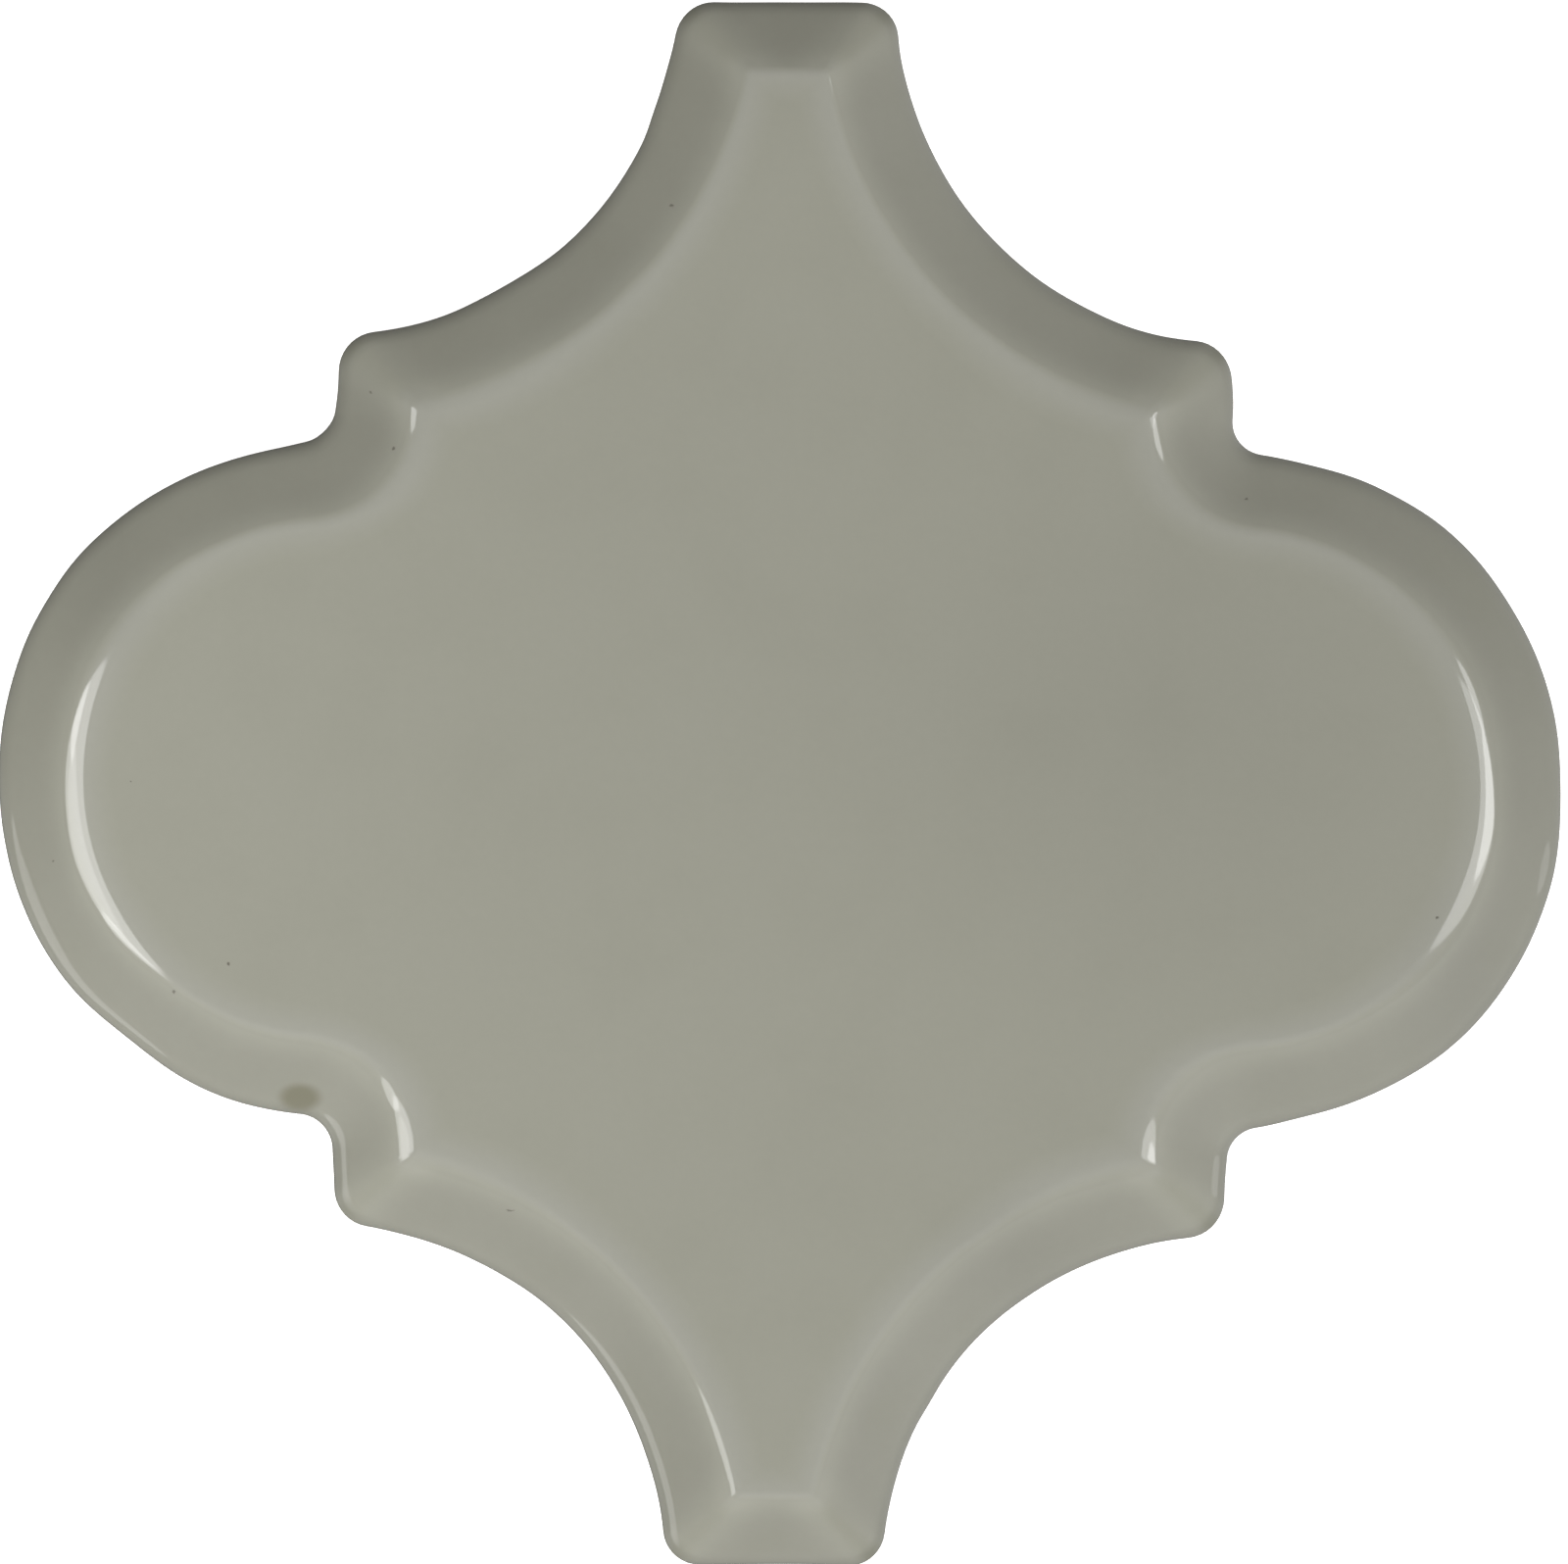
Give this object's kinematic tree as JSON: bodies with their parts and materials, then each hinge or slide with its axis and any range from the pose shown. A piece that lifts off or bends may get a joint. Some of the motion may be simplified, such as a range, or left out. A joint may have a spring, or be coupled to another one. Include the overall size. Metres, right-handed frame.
{
  "type": "arabesque tile",
  "caption": "Glazed ceramic wall tile with a lantern outline of lobes, hollows and necks, a sloping bevelled border with mitred corners and a grooved back.",
  "frame": {"origin": "middle of the back, on the plane that the tile lies on", "axes": "+X along the two side lobes, +Y along the two necks, +Z out of the glazed face"},
  "size_m": [0.148, 0.148, 0.009],
  "materials": {
    "glaze": "glossy sage-grey glaze over a pale fired body"
  },
  "bodies": {
    "root": {"arabesque_tile": "glaze"}
  },
  "joints": []
}
